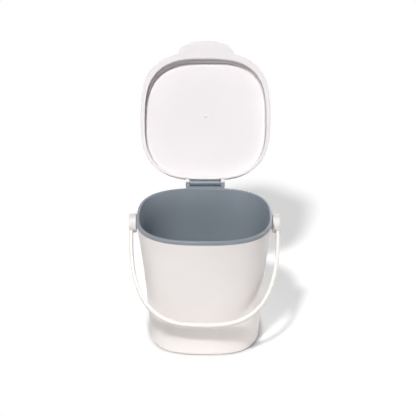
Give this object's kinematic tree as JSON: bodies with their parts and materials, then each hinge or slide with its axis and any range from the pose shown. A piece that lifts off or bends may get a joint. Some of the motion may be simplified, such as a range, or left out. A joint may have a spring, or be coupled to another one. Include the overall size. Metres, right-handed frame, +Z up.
{
  "type": "compost caddy",
  "caption": "Tapered rounded-square kitchen caddy with a grey liner and rim, a double-walled lid hinged at the back, standing open, and a flat bail hanging in front.",
  "frame": {"origin": "middle of the foot, on the table", "axes": "+Z up, -Y the front, where the bail hangs and the lid's thumb tab closes, +X to the right seen from the front"},
  "size_m": [0.192, 0.2761, 0.3411],
  "materials": {
    "white_shell": "satin",
    "grey_liner": "satin",
    "grey_hinge": "satin",
    "pin_steel": "brushed",
    "white_lid": "satin",
    "white_cover": "satin",
    "white_bail": "satin",
    "white_stud": "satin"
  },
  "bodies": {
    "bucket": {"outer_bucket": "white_shell", "inner_liner": "grey_liner", "hinge_bracket": "grey_hinge", "left_pivot_stud": "white_stud", "right_pivot_stud": "white_stud"},
    "lid": {"lid_tray": "white_lid", "lid_cover": "white_cover", "hinge_pin": "pin_steel"},
    "bail": {"bail_handle": "white_bail"}
  },
  "joints": [
    {"name": "lid_hinge", "type": "hinge", "parent": "bucket", "child": "lid", "pos_m": [0, 0.0904, 0.1717], "axis": [1, 0, 0], "range_deg": [0, 121]},
    {"name": "bail_pivot", "type": "hinge", "parent": "bucket", "child": "bail", "pos_m": [0, 0, 0.153], "axis": [-1, 0, 0], "range_deg": [0, 142]}
  ]
}
